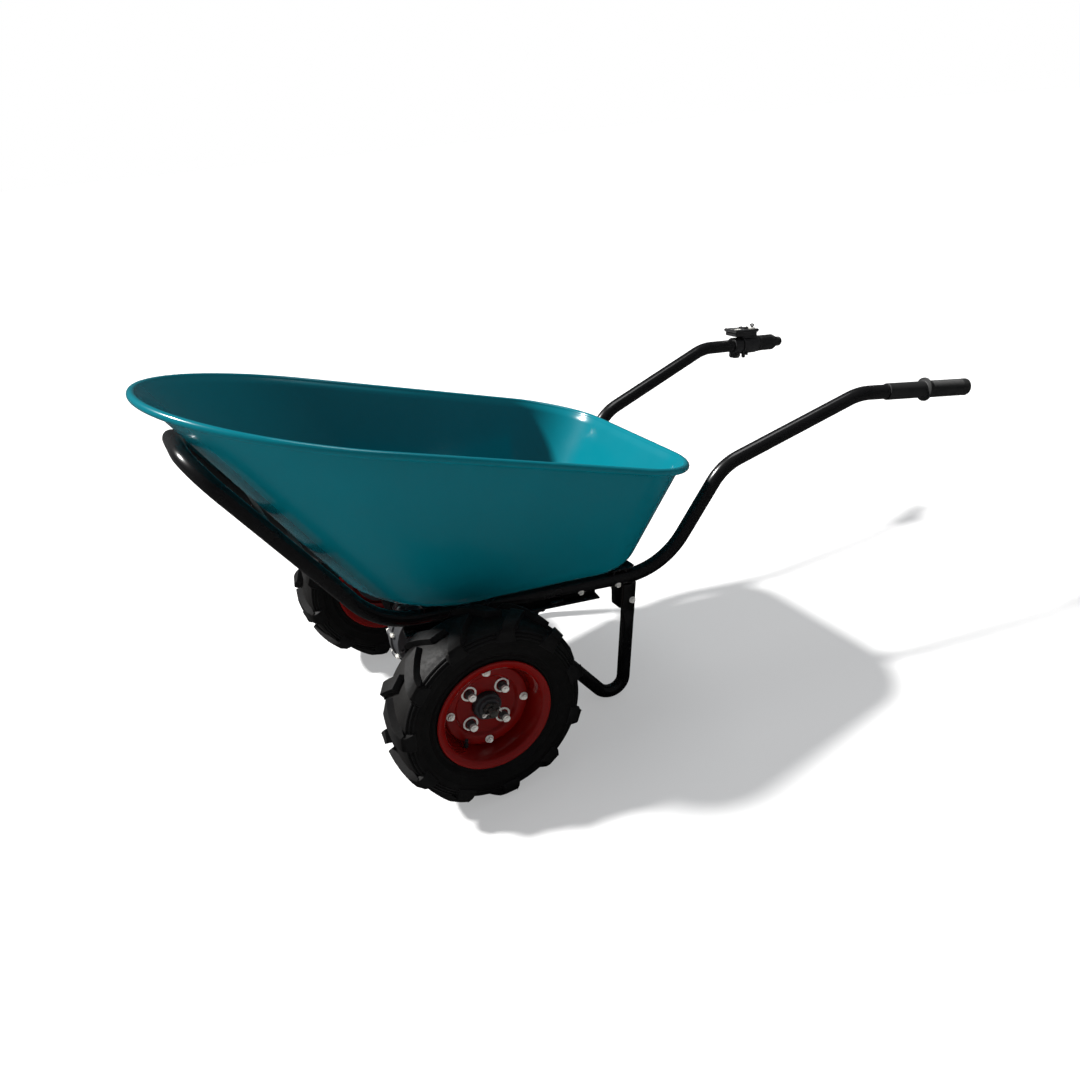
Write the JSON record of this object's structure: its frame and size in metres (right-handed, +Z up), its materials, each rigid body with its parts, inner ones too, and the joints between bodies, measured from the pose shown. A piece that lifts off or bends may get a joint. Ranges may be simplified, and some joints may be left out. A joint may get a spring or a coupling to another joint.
{
  "type": "power wheelbarrow",
  "caption": "Battery powered two-wheel wheelbarrow with a steel tub tray, tube frame, lugged tyres, driven axle and twist throttle.",
  "frame": {"origin": "on the ground below the middle of the length, midway between the wheels", "axes": "+X from the nose to the handles, +Y to the operator's right, +Z up"},
  "size_m": [1.7082, 0.778, 0.8282],
  "materials": {
    "tray_paint": "gloss",
    "frame_paint": "semi-gloss powder coat",
    "rim_paint": "gloss",
    "tyre": "matt rubber",
    "zinc": "bright zinc plate",
    "steel": "machined",
    "casting": "painted casting",
    "rubber": "moulded",
    "plastic": "fine texture",
    "lens": "smoked window"
  },
  "bodies": {
    "frame": {"tray": "tray_paint", "front_loop_tube": "frame_paint", "upper_nose_strap": "frame_paint", "lower_nose_strap": "frame_paint", "front_cross_member": "frame_paint", "rear_cross_member": "frame_paint", "motor_can": "casting", "motor_cap": "casting", "battery_box": "frame_paint", "battery_pack": "plastic", "motor_controller": "casting", "battery_front_strap": "frame_paint", "battery_rear_strap": "frame_paint", "battery_hinge": "zinc", "charge_port": "plastic", "left_grip": "rubber", "right_grip": "rubber", "throttle_housing": "plastic", "control_clamp": "plastic", "control_box": "plastic", "gauge_lens": "lens", "left_handle_tube": "frame_paint", "left_axle_rail": "frame_paint", "left_leg": "frame_paint", "left_leg_bracket": "frame_paint", "left_axle_hanger": "frame_paint", "left_axle_tube": "frame_paint", "left_axle_bearing": "steel", "left_gear_case": "casting", "right_handle_tube": "frame_paint", "right_axle_rail": "frame_paint", "right_leg": "frame_paint", "right_leg_bracket": "frame_paint", "right_axle_hanger": "frame_paint", "right_axle_tube": "frame_paint", "right_axle_bearing": "steel", "right_gear_case": "casting"},
    "left_wheel": {"left_tyre": "tyre", "left_rim_outer": "rim_paint", "left_rim_inner": "rim_paint", "left_hub": "casting", "left_half_shaft": "steel", "left_axle_nut": "zinc", "left_valve": "rubber"},
    "right_wheel": {"right_tyre": "tyre", "right_rim_outer": "rim_paint", "right_rim_inner": "rim_paint", "right_hub": "casting", "right_half_shaft": "steel", "right_axle_nut": "zinc", "right_valve": "rubber"},
    "drive_carrier": {"ring_gear": "steel"},
    "motor_rotor": {"motor_rotor": "steel"},
    "throttle": {"throttle_sleeve": "rubber"},
    "ignition_key": {"key": "plastic", "key_barrel": "zinc"},
    "rocker": {"direction_rocker": "plastic"},
    "door": {"battery_door": "frame_paint"},
    "latch": {"battery_latch": "zinc"}
  },
  "joints": [
    {"name": "left_wheel_spin", "type": "hinge", "parent": "frame", "child": "left_wheel", "pos_m": [-0.45244, -0.329, 0.2], "axis": [0, 1, 0], "continuous": true},
    {"name": "right_wheel_spin", "type": "hinge", "parent": "frame", "child": "right_wheel", "pos_m": [-0.45244, 0.329, 0.2], "axis": [0, 1, 0], "continuous": true},
    {"name": "carrier_spin", "type": "hinge", "parent": "frame", "child": "drive_carrier", "pos_m": [-0.45244, 0, 0.2], "axis": [0, 1, 0], "continuous": true},
    {"name": "motor_spin", "type": "hinge", "parent": "frame", "child": "motor_rotor", "pos_m": [-0.37913, 0.06, 0.22665], "axis": [0, 1, 0], "continuous": true},
    {"name": "throttle_twist", "type": "hinge", "parent": "frame", "child": "throttle", "pos_m": [0.54068, 0.29141, 0.58053], "axis": [0.9821, 0.1258, -0.1401], "range_deg": [0, 60], "stiffness_Nm_per_rad": 0.3},
    {"name": "key_turn", "type": "hinge", "parent": "frame", "child": "ignition_key", "pos_m": [0.72097, 0.30393, 0.59933], "axis": [0.1403, 0.0067, 0.9901], "range_deg": [0, 90]},
    {"name": "rocker_tilt", "type": "hinge", "parent": "frame", "child": "rocker", "pos_m": [0.69974, 0.31739, 0.59821], "axis": [0.9821, 0.1258, -0.1401], "range_deg": [-10, 10]},
    {"name": "door_hinge", "type": "hinge", "parent": "frame", "child": "door", "pos_m": [-0.20142, 0, 0.20063], "axis": [0, 1, 0], "range_deg": [0, 95]},
    {"name": "latch_turn", "type": "hinge", "parent": "door", "child": "latch", "pos_m": [-0.19079, 0.05, 0.26786], "axis": [0.9962, 0, -0.0875], "range_deg": [0, 90]}
  ],
  "couplings": [
    {"joint": "motor_spin", "follows": "carrier_spin", "ratio": -4.2}
  ]
}
